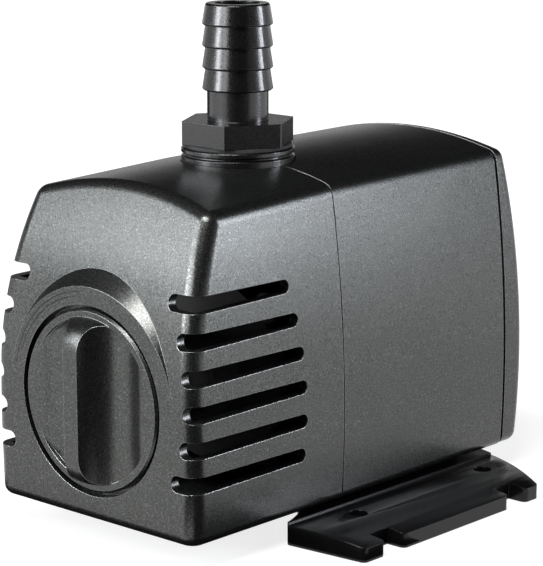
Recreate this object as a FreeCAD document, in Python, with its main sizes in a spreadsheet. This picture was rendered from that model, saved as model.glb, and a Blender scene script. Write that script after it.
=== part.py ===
import FreeCAD, Part
import math
import os
import re
import Sketcher

# Fountain submersible pump, in millimetres.
#
# Row frame: +X to the right seen from the front, +Y to the rear, +Z up. The origin is the
# centre of the four fixing holes, on the underside of the base plate.
#
# Most sub-parts are drawn in the pump frame, whose origin is the lower front edge of the pump
# body: x to the right, y the depth behind the flat front, z the height above the body's
# underside. Turned parts on the rotor line are drawn about that line, and the outlet's parts
# about the outlet's axis. Each sub-part's Placement carries it to the row frame.

# ---------------------------------------------------------------- driving dimensions

SIZES = [
    # body form
    ("front_reach", 73.0, "flat front to the middle of the fixing holes"),
    ("body_lift", 6.2, "ground to the underside of the body"),
    ("wall", 2.4, "wall of the moulded shells"),
    ("waist_half_width", 32.8, "half width at the waist"),
    ("waist_level", 19.7, "height of the waist"),
    ("side_radius", 346.0, "bow of the sides"),
    ("crown_radius", 101.4, "bow of the top"),
    ("crown_front", 76.8, "top of the crown at the flat front"),
    ("crown_seam", 78.7, "top of the crown at the seam"),
    ("crown_rear", 79.4, "top of the crown at the rear groove"),
    ("edge_radius", 4.0, "rounding of the front corners and the top edges"),
    ("foot_radius", 2.4, "rounding of the lower edges"),
    ("lean_level", 31.5, "height where the front starts to lean back"),
    ("lean_radius", 93.0, "bow of the leaning front"),
    ("seam_depth", 50.6, "front to the middle of the seam"),
    ("seam_gap", 0.3, "gap between the cage and the motor housing"),
    ("cap_depth", 8.9, "motor housing's rear edge to the furthest back of the cap"),
    ("cap_groove", 0.9, "width of the rear gasket's groove"),
    ("body_length", 121.5, "front to the rear of the cap"),
    ("cap_bow", 313.0, "bow of the rear cap"),
    ("cap_bow_level", 27.0, "height where the rear cap is furthest back"),
    ("cap_edge_radius", 3.0, "rounding of the rear cap"),
    ("play", 0.3, "clearance between pieces that slide or turn past each other"),
    ("seat_play", 0.1, "clearance of a piece seated in its bore"),
    # flow dial
    ("axis_level", 28.3, "height of the dial and rotor axis"),
    ("boss_radius", 26.5, "flat ring round the dial"),
    ("boss_flare", 0.9, "growth of the ring's radius per depth"),
    ("boss_depth", 5.0, "depth of the flared ring"),
    ("dial_radius", 21.3, "dial"),
    ("dial_gap", 1.0, "ring gap round the dial"),
    ("dial_thickness", 2.7, "rim of the dial"),
    ("dial_edge", 0.5, "chamfer of the dial's rim"),
    ("scoop_rim", 19.5, "outer radius of the finger scoops"),
    ("grip_height", 6.0, "grip bar above the dial's face"),
    ("grip_half_flat", 12.8, "half length of the crest before its ends fall away"),
    ("grip_end_radius", 7.4, "bow of the grip bar's ends"),
    ("scoop_centre", 11.2, "finger scoop's axis from the middle of the bar"),
    ("scoop_rise", 8.0, "finger scoop's axis above the dial's face"),
    ("scoop_radius", 9.17, "finger scoop"),
    ("scoop_blend", 6.0, "rounding where a scoop meets the dial's face"),
    ("stem_radius", 4.5, "dial's stem"),
    ("shutter_plate", 2.2, "front plate of the shutter"),
    ("shutter_screw_radius", 1.5, "shutter screw's shank"),
    ("shutter_head_radius", 3.0, "shutter screw's head"),
    ("shutter_head", 1.8, "shutter screw's head height"),
    ("shutter_screw_length", 6.0, "shutter screw's shank length"),
    # intake slots
    ("slot_height", 4.0, "slot at the front corner"),
    ("slot_rear_height", 3.2, "slot at its rear end"),
    ("slot_pitch", 8.02, "slot to slot"),
    ("slot_top", 54.4, "height of the top slot"),
    ("slot_front_end", 29.3, "furthest front end from the middle"),
    ("slot_front_level", 31.5, "height of that front end"),
    ("slot_front_radius", 42.0, "arc that the front ends follow"),
    ("slot_rear_end", 37.7, "furthest rear end behind the front"),
    ("slot_rear_level", 26.0, "height of that rear end"),
    ("slot_rear_radius", 86.0, "arc that the rear ends follow"),
    # pump chamber
    ("chamber_radius", 20.0, "chamber's inner radius"),
    ("chamber_wall", 2.5, "chamber's wall"),
    ("chamber_front", 42.0, "front to the chamber's front rim"),
    ("chamber_back", 61.5, "front to the chamber's inner back"),
    ("chamber_floor", 2.5, "chamber's back plate"),
    ("rotor_mouth", 12.3, "radius of the rotor well"),
    ("ear_circle", 25.2, "screw circle of the chamber"),
    ("ear_radius", 3.6, "screw ears"),
    ("chamber_screw_radius", 1.6, "chamber screws' shanks"),
    ("chamber_head_radius", 2.8, "chamber screws' heads"),
    ("chamber_head", 2.0, "chamber screws' head height"),
    ("chamber_screw_bite", 6.0, "chamber screws' length in the housing"),
    ("cover_plate", 2.5, "chamber cover"),
    ("seal_radius", 0.9, "thickness of the chamber's seals"),
    ("nozzle_radius", 9.6, "outside of the inlet nozzle"),
    ("nozzle_wall", 1.5, "inlet nozzle's wall"),
    ("nozzle_front", 11.0, "front to the nozzle's closed end"),
    ("nozzle_window", 14.5, "length of the inlet windows"),
    ("nozzle_window_front", 14.5, "front to the inlet windows"),
    ("window_angle", 84.0, "width of the inlet windows in degrees"),
    ("shutter_wall", 1.3, "shutter's sleeve"),
    ("shutter_end", 36.0, "front to the shutter's rear end"),
    # outlet
    ("outlet_depth", 49.5, "front to the outlet's axis"),
    ("collar_radius", 12.9, "outlet collar"),
    ("collar_top", 81.4, "height of the outlet collar"),
    ("collar_foot", 62.0, "height where the collar starts"),
    ("collar_crest", 13.5, "radius of the collar's two crests"),
    ("crest_pitch", 2.2, "crest to crest"),
    ("crest_flat", 0.5, "flat of the upper crest"),
    ("crest_slope", 0.35, "slopes of the crests"),
    ("outlet_wall", 1.5, "wall of the outlet's neck"),
    ("outlet_bore", 5.8, "radius of the outlet's bore"),
    ("thread_radius", 10.4, "adaptor's threaded end"),
    ("thread_length", 13.0, "adaptor's threaded end"),
    ("washer", 0.7, "adaptor's washer"),
    ("washer_radius", 12.7, "adaptor's washer"),
    ("hex_flats", 24.0, "adaptor's hexagon across flats"),
    ("hex_height", 5.6, "adaptor's hexagon"),
    ("hex_edge", 0.45, "rounding of the hexagon's edges"),
    ("neck_radius", 7.27, "adaptor's neck"),
    ("neck_length", 7.05, "adaptor's neck"),
    ("barb_radius", 8.38, "barbs' edges"),
    ("barb_root", 7.65, "barbs' small ends"),
    ("barb_edge", 0.35, "chamfer of the barbs' edges"),
    ("barb_pitch", 5.1, "barb to barb"),
    ("spout_wall", 1.87, "adaptor's wall at the neck"),
    # rotor
    ("impeller_radius", 17.0, "impeller"),
    ("impeller_front", 45.0, "front to the vanes"),
    ("impeller_plate", 2.0, "impeller's back plate"),
    ("impeller_length", 14.0, "impeller's overall length"),
    ("impeller_hub", 5.0, "impeller's hub"),
    ("vane_thickness", 1.5, "impeller's vanes"),
    ("shaft_radius", 1.5, "ceramic shaft"),
    ("shaft_play", 0.05, "rotor's running clearance on the shaft"),
    ("sleeve_radius", 4.0, "rotor sleeve"),
    ("sleeve_flange", 6.0, "rotor sleeve's flange"),
    ("magnet_radius", 11.4, "rotor magnet"),
    ("magnet_front", 70.0, "front to the rotor magnet"),
    ("magnet_room", 8.0, "rotor magnet's end to the outside of the well's end"),
    ("bush_radius", 3.2, "shaft bushes"),
    ("bush_length", 5.0, "shaft bushes"),
    ("front_bush_front", 34.5, "front to the front bush"),
    ("well_cover", 5.0, "resin behind the rotor well"),
    ("well_wall", 1.3, "rotor well's wall"),
    # motor
    ("bulkhead_front", 64.3, "front to the housing's bulkhead"),
    ("bulkhead", 2.2, "housing's bulkhead"),
    ("core_half_width", 21.0, "stator core"),
    ("core_bottom", 11.8, "height of the core's underside"),
    ("core_top", 73.5, "height of the core's top"),
    ("core_front", 72.7, "front to the core"),
    ("core_room", 7.3, "laminations' end to the outside of the well's end"),
    ("leg_inner", 11.0, "inside of the core's legs"),
    ("window_bottom", 50.5, "height of the coil window's floor"),
    ("window_top", 66.0, "height of the coil window's top"),
    ("pole_slit", 3.0, "half width of the slit between the poles"),
    ("bobbin_wall", 1.0, "coil bobbins"),
    ("coil_build", 4.5, "thickness of the windings"),
    ("potting_room", 3.6, "resin's rear face to the housing's rear edge"),
    ("boss_wall", 1.7, "wall of the screw bosses"),
    ("pilot_room", 0.5, "pilot hole beyond its screw's tip"),
    # rear cap
    ("cap_plate", 2.4, "rear cap's plate"),
    ("cap_screw_radius", 1.6, "rear screws' shanks"),
    ("cap_head_radius", 2.9, "rear screws' heads"),
    ("cap_head", 2.2, "rear screws' head height"),
    ("cap_screw_length", 10.0, "rear screws' shank length"),
    ("cap_boss_radius", 4.0, "bosses of the rear screws"),
    ("cap_boss_length", 8.0, "bosses of the rear screws"),
    ("cap_screw_across", 23.5, "rear screws from the middle"),
    ("cap_screw_low", 6.0, "height of the lower rear screws"),
    ("cap_screw_high", 68.0, "height of the upper rear screws"),
    ("gland_level", 52.0, "height of the cord inlet"),
    ("gland_radius", 6.2, "cord gland's body"),
    ("gland_flange", 8.2, "cord gland's flange"),
    ("gland_flange_length", 2.5, "cord gland's flange"),
    ("gland_reach", 9.0, "cord gland behind the cap"),
    ("cord_radius", 3.4, "cord inlet's bore"),
    # base plate
    ("base_half_width", 54.0, "base plate"),
    ("base_gap", 1.0, "base plate's top under the body"),
    ("base_step", 0.5, "step beside the body"),
    ("base_step_across", 32.4, "step from the middle"),
    ("base_edge_drop", 2.2, "fall of the wings to their edge"),
    ("base_crown_radius", 130.0, "bow of the wings' top"),
    ("base_skin", 1.9, "base plate's skin"),
    ("base_rim", 2.4, "base plate's rim"),
    ("base_front", 31.0, "front to the wings' front ends"),
    ("base_front_outer", 33.0, "front to the wings' outer corners"),
    ("base_front_across", 32.0, "inner corner of the wings"),
    ("base_bay_depth", 56.0, "front to the bottom of the front bay"),
    ("base_bay_radius", 33.0, "arc of the front bay"),
    ("base_rear", 113.9, "front to the rear edge's middle"),
    ("base_rear_radius", 105.3, "arc of the rear edge"),
    ("base_corner_radius", 1.3, "rounding of the plate's corners"),
    ("notch_depth", 5.0, "edge notches"),
    ("notch_width", 6.7, "edge notches"),
    ("front_notch", 40.4, "front to the front notches"),
    ("rear_tab", 5.1, "wing's edge behind the rear notches"),
    ("hole_across", 77.0, "fixing holes, centre to centre"),
    ("hole_along", 48.0, "fixing holes, centre to centre"),
    ("hole_radius", 2.3, "fixing holes"),
    ("hole_boss", 4.8, "bosses of the fixing holes"),
    ("pad_half_width", 22.0, "pad that carries the body"),
    ("pad_front", 62.0, "front to the pad"),
    ("pad_inset", 4.6, "pad's rear to the housing's rear edge"),
    ("base_screw_across", 14.0, "base screws from the middle"),
    ("base_screw_front", 72.0, "front to the front base screws"),
    ("base_screw_inset", 12.6, "rear base screws to the housing's rear edge"),
    ("base_screw_radius", 1.6, "base screws' shanks"),
    ("base_head_radius", 3.0, "base screws' heads"),
    ("base_head", 1.8, "base screws' head height"),
    ("base_screw_bite", 6.0, "base screws' length in the body"),
    ("base_boss", 3.6, "bosses of the base screws"),
]
SLOT_COUNT = 6
BARB_COUNT = 4
VANE_COUNT = 6
SPIDER_ARMS = 3
NAMES = {alias for alias, value, meaning in SIZES}
FLAT = 0.01

# places that several sub-parts share
CAGE_END = "(seam_depth - seam_gap / 2)"
HOUSING_START = "(seam_depth + seam_gap / 2)"
RECESS_RADIUS = "(dial_radius + dial_gap)"
RECESS_DEPTH = "(dial_thickness + play)"
SHUTTER_FRONT = "(dial_thickness + play + wall + play)"
SLEEVE_INSIDE = "(nozzle_radius + play)"
COLLAR_CLEAR = "(collar_crest + play)"
HOUSING_END = "(body_length - cap_depth)"
POTTING_END = "(body_length - cap_depth - potting_room)"
WELL_END = "(body_length - cap_depth - potting_room - well_cover)"
MAGNET_END = "(body_length - cap_depth - potting_room - well_cover - magnet_room)"
CORE_END = "(body_length - cap_depth - potting_room - well_cover - core_room)"
CAP_START = "(body_length - cap_depth + cap_groove)"
WELL_OUTSIDE = "(rotor_mouth + well_wall)"
COVER_FRONT = "(chamber_front - cover_plate)"
CHAMBER_END = "(chamber_back + chamber_floor)"
FRONT_SEAL_END = "(chamber_front + seal_radius)"
REAR_SEAL_START = "(chamber_back + chamber_floor - seal_radius)"
CAP_SEAT = "(body_length - cap_plate - cap_head - 1)"
BASE_TOP = "(body_lift - base_gap)"
WING_REAR = "(base_rear - base_rear_radius + sqrt(base_rear_radius * base_rear_radius - " \
            "base_half_width * base_half_width))"
REAR_NOTCH = "(%s - rear_tab - notch_width)" % WING_REAR
REAR_SCREWS = "(body_length - cap_depth - base_screw_inset)"
PAD_REAR = "(body_length - cap_depth - pad_inset)"

doc = FreeCAD.newDocument("fountain_pump")
sheet = doc.addObject("Spreadsheet::Sheet", "sizes")


def fill_sheet():
    """Writes every driving dimension as a plain number with its alias."""
    for row, (alias, value, meaning) in enumerate(SIZES, start=1):
        sheet.set("A%d" % row, meaning)
        sheet.set("B%d" % row, str(value))
        sheet.setAlias("B%d" % row, alias)
    doc.recompute()


def linked(text):
    """The expression with each size's name turned into a reference to the sheet."""
    def refer(match):
        word = match.group(0)
        return "sizes." + word if word in NAMES else word
    return re.sub(r"[a-z][a-z_]*", refer, text)


def value(text):
    """The number that an expression of sizes gives now."""
    result = sheet.evalExpression(linked(text))
    return float(getattr(result, "Value", result))


def bind(item, prop, text):
    item.setExpression(prop, linked(text))


def place(item, x="0", y="0", z="0"):
    """Binds the sub-part's Placement in the row frame."""
    bind(item, "Placement.Base.x", x)
    bind(item, "Placement.Base.y", y)
    bind(item, "Placement.Base.z", z)


def place_in_pump(item, depth="0", level="0"):
    place(item, "0", "-front_reach + " + depth, "body_lift + " + level)


# ---------------------------------------------------------------- sketch helpers

HALF_ROUND = "half round"


def new_body(label):
    body = doc.addObject("PartDesign::Body", label)
    body.Label = label
    return body


def new_sketch(body, name, plane, offset="0"):
    """An empty sketch on one of the body's origin planes, moved along the plane's normal."""
    sketch = body.newObject("Sketcher::SketchObject", name)
    support = [item for item in body.Origin.OriginFeatures if item.Role == plane + "_Plane"][0]
    sketch.AttachmentSupport = [(support, "")]
    sketch.MapMode = "FlatFace"
    bind(sketch, "AttachmentOffset.Base.z", offset)
    return sketch


def hold_coordinate(sketch, kind, axis, geometry, point, text):
    """Fixes one coordinate of a point, on the axis itself where it is zero."""
    if text == "0":
        sketch.addConstraint(Sketcher.Constraint("PointOnObject", geometry, point, axis))
        return
    index = sketch.addConstraint(Sketcher.Constraint(kind, -1, 1, geometry, point, value(text)))
    bind(sketch, "Constraints[%d]" % index, text)


def arc_between(start, end, radius):
    """Arc from start to end: its centre is on the left for a positive radius."""
    chord = end - start
    middle = (start + end) * 0.5
    half = chord.Length / 2
    height = math.sqrt(max(radius * radius - half * half, 0.0))
    left = FreeCAD.Vector(-chord.y, chord.x, 0).normalize()
    centre = middle + left * (height if radius > 0 else -height)
    circle = Part.Circle(centre, FreeCAD.Vector(0, 0, 1), abs(radius))
    first, last = (start, end) if radius > 0 else (end, start)
    return Part.ArcOfCircle(circle, circle.parameter(first), circle.parameter(last))


def draw_outline(sketch, corners):
    """A closed outline held by expressions.

    Each corner is (x, y) or (x, y, radius): with a radius, an arc leads to the next corner,
    turning left where the radius is positive and right where it is negative. With HALF_ROUND
    for the radius, a half circle turns left to the next corner, straight above or below.
    """
    points = [FreeCAD.Vector(value(corner[0]), value(corner[1]), 0) for corner in corners]
    ends = []
    for number, corner in enumerate(corners):
        start = points[number]
        end = points[(number + 1) % len(points)]
        if len(corner) == 2:
            edge = sketch.addGeometry(Part.LineSegment(start, end), False)
            ends.append((edge, 1, 2))
            continue
        if corner[2] == HALF_ROUND:
            edge = sketch.addGeometry(arc_between(start, end, (end - start).Length / 2), False)
            ends.append((edge, 1, 2))
            hold_coordinate(sketch, "DistanceX", -2, edge, 3, corner[0])
            continue
        radius = value(corner[2])
        edge = sketch.addGeometry(arc_between(start, end, radius), False)
        ends.append((edge, 1, 2) if radius > 0 else (edge, 2, 1))
        index = sketch.addConstraint(Sketcher.Constraint("Radius", edge, abs(radius)))
        bind(sketch, "Constraints[%d]" % index, "abs(%s)" % corner[2])
    for number, corner in enumerate(corners):
        edge, first, last = ends[number]
        before, before_first, before_last = ends[number - 1]
        sketch.addConstraint(Sketcher.Constraint("Coincident", before, before_last, edge, first))
        hold_coordinate(sketch, "DistanceX", -2, edge, first, corner[0])
        hold_coordinate(sketch, "DistanceY", -1, edge, first, corner[1])


def draw_circle(sketch, x, y, radius):
    """A circle whose centre and radius are held by expressions."""
    centre = FreeCAD.Vector(value(x), value(y), 0)
    circle = Part.Circle(centre, FreeCAD.Vector(0, 0, 1), value(radius))
    edge = sketch.addGeometry(circle, False)
    index = sketch.addConstraint(Sketcher.Constraint("Radius", edge, value(radius)))
    bind(sketch, "Constraints[%d]" % index, radius)
    hold_coordinate(sketch, "DistanceX", -2, edge, 3, x)
    hold_coordinate(sketch, "DistanceY", -1, edge, 3, y)


def draw_box(sketch, left, right, bottom, top):
    draw_outline(sketch, [(left, bottom), (right, bottom), (right, top), (left, top)])


# ---------------------------------------------------------------- feature helpers

def pad(body, sketch, length, both_ways=False, backwards=False):
    """Adds material along the sketch's normal, or against it."""
    feature = body.newObject("PartDesign::Pad", sketch.Name + "_pad")
    feature.Profile = sketch
    bind(feature, "Length", length)
    feature.Midplane = both_ways
    feature.Reversed = backwards
    return feature


def pocket(body, sketch, length, both_ways=False, backwards=False):
    """Takes material away along the sketch's normal, or against it, and compares the volume."""
    doc.recompute()
    before = body.Shape.Volume
    feature = body.newObject("PartDesign::Pocket", sketch.Name + "_pocket")
    feature.Profile = sketch
    bind(feature, "Length", length)
    feature.Midplane = both_ways
    feature.Reversed = not backwards
    doc.recompute()
    if not body.Shape.Volume < before - 1e-6:
        raise RuntimeError("the cut %s takes nothing away" % feature.Name)
    return feature


def revolve(body, sketch):
    feature = body.newObject("PartDesign::Revolution", sketch.Name + "_turned")
    feature.Profile = sketch
    feature.ReferenceAxis = (sketch, ["V_Axis"])
    feature.Angle = 360
    return feature


def turned_on_depth(label, corners, depth="0"):
    """A piece turned about the rotor line: corners are (radius, depth)."""
    body = new_body(label)
    sketch = new_sketch(body, label + "_profile", "XY")
    draw_outline(sketch, corners)
    revolve(body, sketch)
    place_in_pump(body, depth, "axis_level")
    return body


def turned_on_height(label, corners):
    """A piece turned about the outlet's axis: corners are (radius, height)."""
    body = new_body(label)
    sketch = new_sketch(body, label + "_profile", "XZ")
    draw_outline(sketch, corners)
    revolve(body, sketch)
    place_in_pump(body, "outlet_depth")
    return body


def polar(body, feature, count, plane="XZ"):
    """Copies a feature round the body's own depth or height axis."""
    role = {"XZ": "Y_Axis", "XY": "Z_Axis"}[plane]
    axis = [item for item in body.Origin.OriginFeatures if item.Role == role][0]
    pattern = body.newObject("PartDesign::PolarPattern", feature.Name + "_round")
    pattern.Originals = [feature]
    pattern.Axis = (axis, [""])
    pattern.Angle = 360
    pattern.Occurrences = count
    body.Tip = pattern
    return pattern


def fillet(body, name, radius, test):
    """Rounds the edges of the body's last feature that the test picks."""
    doc.recompute()
    base = body.Tip
    edges = ["Edge%d" % number for number, edge in enumerate(base.Shape.Edges, start=1) if test(edge)]
    if not edges:
        raise RuntimeError("no edge found for " + name)
    feature = body.newObject("PartDesign::Fillet", name)
    feature.Base = (base, edges)
    bind(feature, "Radius", radius)
    return feature


def fused(name, items):
    joined = doc.addObject("Part::MultiFuse", name)
    joined.Shapes = items
    return joined


def cut(label, base, tool):
    result = doc.addObject("Part::Cut", label)
    result.Base = base
    result.Tool = tool
    result.Label = label
    return result


def common(name, first, second):
    result = doc.addObject("Part::Common", name)
    result.Base = first
    result.Tool = second
    return result


def drilled(label, base, places):
    """Cuts round holes from a piece: each place is (plane, x, y, from, to, radius)."""
    tools = [rod("%s_hole_%d" % (label, number), *place) for number, place in enumerate(places, start=1)]
    return cut(label, base, fused(label + "_holes", tools))


def rod(name, plane, across, along, start, end, radius):
    """A round bar in the pump frame, along the depth (XZ) or the height (XY)."""
    body = new_body(name)
    offset = {"XZ": "-(%s)" % start, "XY": start}[plane]
    sketch = new_sketch(body, name + "_circle", plane, offset)
    draw_circle(sketch, across, along, radius)
    pad(body, sketch, "(%s) - (%s)" % (end, start), backwards=(plane == "XZ"))
    place_in_pump(body)
    return body


# ---------------------------------------------------------------- body form

def crown_at(depth):
    """Height of the crown: one slope before the seam and a gentler one behind it."""
    if depth in ("0", "wall"):
        return "(crown_front + (crown_seam - crown_front) * %s / seam_depth)" % depth
    slope = "(crown_rear - crown_seam) / (%s - seam_depth)" % HOUSING_END
    return "(crown_seam + %s * (%s - seam_depth))" % (slope, depth)


def hold_arc(sketch, edge, x, y, radius):
    """Fixes an arc's centre and radius, and leaves its ends to its neighbours."""
    index = sketch.addConstraint(Sketcher.Constraint("Radius", edge, value(radius)))
    bind(sketch, "Constraints[%d]" % index, radius)
    hold_coordinate(sketch, "DistanceX", -2, edge, 3, x)
    hold_coordinate(sketch, "DistanceY", -1, edge, 3, y)


def meeting_point(first, first_radius, second, second_radius):
    """Upper right meeting point of two circles."""
    axis = FreeCAD.Vector(0, 0, 1)
    circle = Part.Circle(first, axis, first_radius)
    other = Part.Circle(second, axis, second_radius)
    points = [FreeCAD.Vector(point.X, point.Y, 0) for point in circle.intersect(other)]
    return max(points, key=lambda point: point.x + point.y)


def arc_through(centre, start, end):
    """Arc about a centre, anticlockwise from start to end."""
    circle = Part.Circle(centre, FreeCAD.Vector(0, 0, 1), (start - centre).Length)
    return Part.ArcOfCircle(circle, circle.parameter(start), circle.parameter(end))


def section(body, name, depth, inset, crown, rounded=False):
    """The body's cross-section at a depth: bowed sides, a crowned top and a flat underside.

    The arcs are held by their centres. Rounded, small tangent arcs join them and the underside.
    """
    sketch = new_sketch(body, name, "XZ", "-(%s)" % depth)
    side_x = "(waist_half_width - side_radius)"
    side_bow = "(side_radius - %s)" % inset
    top_y = "(%s - crown_radius)" % crown
    top_bow = "(crown_radius - %s)" % inset
    side = FreeCAD.Vector(value(side_x), value("waist_level"), 0)
    top = FreeCAD.Vector(0, value(top_y), 0)
    bow, crest, ground = value(side_bow), value(top_bow), value(inset)
    edge_round = value("edge_radius") if rounded else 0.0
    foot_round = value("foot_radius") if rounded else 0.0
    shoulder = meeting_point(side, bow - edge_round, top, crest - edge_round)
    foot_y = ground + foot_round
    foot_x = side.x + math.sqrt((bow - foot_round) ** 2 - (foot_y - side.y) ** 2)
    foot = FreeCAD.Vector(foot_x, foot_y, 0)
    side_low = side + (foot - side).normalize() * bow
    side_high = side + (shoulder - side).normalize() * bow
    top_right = top + (shoulder - top).normalize() * crest
    ground_right = FreeCAD.Vector(foot_x, ground, 0)

    def mirrored(point):
        return FreeCAD.Vector(-point.x, point.y, 0)

    right = sketch.addGeometry(arc_through(side, side_low, side_high), False)
    crown_arc = sketch.addGeometry(arc_through(top, top_right, mirrored(top_right)), False)
    left = sketch.addGeometry(arc_through(mirrored(side), mirrored(side_high), mirrored(side_low)), False)
    under = sketch.addGeometry(Part.LineSegment(mirrored(ground_right), ground_right), False)
    hold_arc(sketch, right, side_x, "waist_level", side_bow)
    hold_arc(sketch, crown_arc, "0", top_y, top_bow)
    hold_arc(sketch, left, "-" + side_x, "waist_level", side_bow)
    sketch.addConstraint(Sketcher.Constraint("Horizontal", under))
    hold_coordinate(sketch, "DistanceY", -1, under, 1, inset)
    joints = [(right, crown_arc, shoulder, "edge_radius"), (crown_arc, left, mirrored(shoulder), "edge_radius"),
              (left, under, mirrored(foot), "foot_radius"), (under, right, foot, "foot_radius")]
    for before, after, centre, radius in joints:
        if not rounded:
            sketch.addConstraint(Sketcher.Constraint("Coincident", before, 2, after, 1))
            continue
        start = sketch.getPoint(before, 2)
        end = sketch.getPoint(after, 1)
        corner = sketch.addGeometry(arc_through(centre, start, end), False)
        index = sketch.addConstraint(Sketcher.Constraint("Radius", corner, value(radius)))
        bind(sketch, "Constraints[%d]" % index, radius)
        sketch.addConstraint(Sketcher.Constraint("Tangent", before, 2, corner, 1))
        sketch.addConstraint(Sketcher.Constraint("Tangent", corner, 2, after, 1))
    return sketch


def lofted(body, name, first, last):
    loft = body.newObject("PartDesign::AdditiveLoft", name)
    loft.Profile = first
    loft.Sections = [last]
    loft.Ruled = True
    return loft


def shell_block(label, start, end, inset, crowns=None, rounded=False):
    """A length of the body's form, inset from its outside."""
    body = new_body(label)
    crowns = crowns or (crown_at(start), crown_at(end))
    first = section(body, label + "_front", start, inset, crowns[0], rounded)
    last = section(body, label + "_rear", end, inset, crowns[1], rounded)
    lofted(body, label + "_form", first, last)
    place_in_pump(body)
    return body


def lean_front(body, inset):
    """Takes away what lies before the leaning, bowed front."""
    top = "(crown_seam + 5)"
    rise = "(%s - lean_level)" % top
    bow = "(lean_radius - %s)" % inset
    sketch = new_sketch(body, body.Name + "_lean", "YZ")
    back = "(lean_radius - sqrt(%s * %s - %s * %s))" % (bow, bow, rise, rise)
    draw_outline(sketch, [
        ("-5", "lean_level"),
        (inset, "lean_level", "-" + bow),
        (back, top),
        ("-5", top),
    ])
    pocket(body, sketch, "3 * waist_half_width", both_ways=True)


# ---------------------------------------------------------------- front cage and dial

def cage_form():
    """Outside of the intake cage: a crowned block whose front leans back round a flared ring."""
    body = shell_block("cage_form", "0", CAGE_END, "0", (crown_at("0"), "crown_seam"))
    lean_front(body, "0")
    ring = new_sketch(body, "cage_ring", "XY")
    far = "(boss_radius + boss_flare * boss_depth)"
    draw_outline(ring, [("0", "0"), ("boss_radius", "0"), (far, "boss_depth"), ("0", "boss_depth")])
    bind(ring, "AttachmentOffset.Base.z", "axis_level")
    revolve(body, ring)
    below = new_sketch(body, "cage_below", "XZ", "-(-5)")
    draw_box(below, "-2 * waist_half_width", "2 * waist_half_width", "-10", "0")
    pocket(body, below, "seam_depth + 10", backwards=True)
    round_cage(body, "0")
    return body


def round_cage(body, inset):
    """Rounds the front corners and top edges alike, then the lower edges."""
    limit = value(CAGE_END) - 0.5
    waist = value("waist_half_width") - 10
    high = value("crown_front") - 12

    def upper(edge):
        box = edge.BoundBox
        if box.YMin > limit:
            return False
        if box.ZLength > 12 and box.XLength < 8 and abs(box.Center.x) > waist:
            return True
        return box.ZMin > high

    def lower(edge):
        box = edge.BoundBox
        return box.ZMax < 0.1 + value(inset) + value("foot_radius") and box.YMin < limit

    fillet(body, body.Name + "_corners", "edge_radius - min(%s; edge_radius - 0.8)" % inset, upper)
    if inset == "0":
        fillet(body, body.Name + "_feet", "foot_radius", lower)


def cage_cavity():
    """Hollow of the intake cage, one wall inside its form."""
    body = shell_block("cage_cavity", "wall", "(seam_depth + 1)", "wall", (crown_at("wall"), "crown_seam"))
    lean_front(body, "wall")
    return body


def slot_cutters():
    """Six tapered slots that wrap a front corner: front outlines crossed with side outlines."""
    fronts = new_body("slot_fronts")
    sides = new_body("slot_sides")
    front_sketch = new_sketch(fronts, "slot_front_outlines", "XZ", "5")
    side_sketch = new_sketch(sides, "slot_side_outlines", "YZ")
    outside = "(waist_half_width + 8)"
    for number in range(SLOT_COUNT):
        level = "(slot_top - %d * slot_pitch)" % number
        rise = "(%s - slot_front_level)" % level
        end = "(slot_front_end - slot_front_radius + sqrt(slot_front_radius * slot_front_radius - %s * %s)" % (
            rise, rise)
        end = end + " + slot_height / 2)"
        draw_outline(front_sketch, [
            (outside, level + " + slot_height / 2"),
            (end, level + " + slot_height / 2", HALF_ROUND),
            (end, level + " - slot_height / 2"),
            (outside, level + " - slot_height / 2"),
        ])
        rise = "(%s - slot_rear_level)" % level
        end = "(slot_rear_end - slot_rear_radius + sqrt(slot_rear_radius * slot_rear_radius - %s * %s)" % (
            rise, rise)
        end = end + " - slot_rear_height / 2)"
        draw_outline(side_sketch, [
            ("-5", level + " - slot_height / 2"),
            (end, level + " - slot_rear_height / 2", HALF_ROUND),
            (end, level + " + slot_rear_height / 2"),
            ("-5", level + " + slot_height / 2"),
        ])
    pad(fronts, front_sketch, "slot_rear_end + 10", backwards=True)
    pad(sides, side_sketch, outside)
    place_in_pump(fronts)
    place_in_pump(sides)
    right = common("slots_right", fronts, sides)
    left = doc.addObject("Part::Mirroring", "slots_left")
    left.Source = right
    left.Normal = FreeCAD.Vector(1, 0, 0)
    return fused("slots", [right, left])


def front_cage():
    """Intake cage: leaning front, flared ring with the dial's recess, wrap-round slots."""
    hollow = cut("cage_hollow", cage_form(), cage_cavity())
    seat = rod("dial_seat", "XZ", "0", "axis_level", "dial_edge", RECESS_DEPTH + " + wall",
               RECESS_RADIUS + " + wall")
    body = fused("cage_with_seat", [hollow, seat])
    recess = rod("dial_recess", "XZ", "0", "axis_level", "-5", RECESS_DEPTH, RECESS_RADIUS)
    stem_hole = rod("stem_hole", "XZ", "0", "axis_level", "0", RECESS_DEPTH + " + 2 * wall",
                    "stem_radius + play")
    collar_hole = rod("cage_collar_hole", "XY", "0", "outlet_depth", "collar_foot", "crown_rear + 10",
                      COLLAR_CLEAR)
    tools = fused("cage_cuts", [slot_cutters(), recess, stem_hole, collar_hole])
    return cut("front_cage", body, tools)


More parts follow.
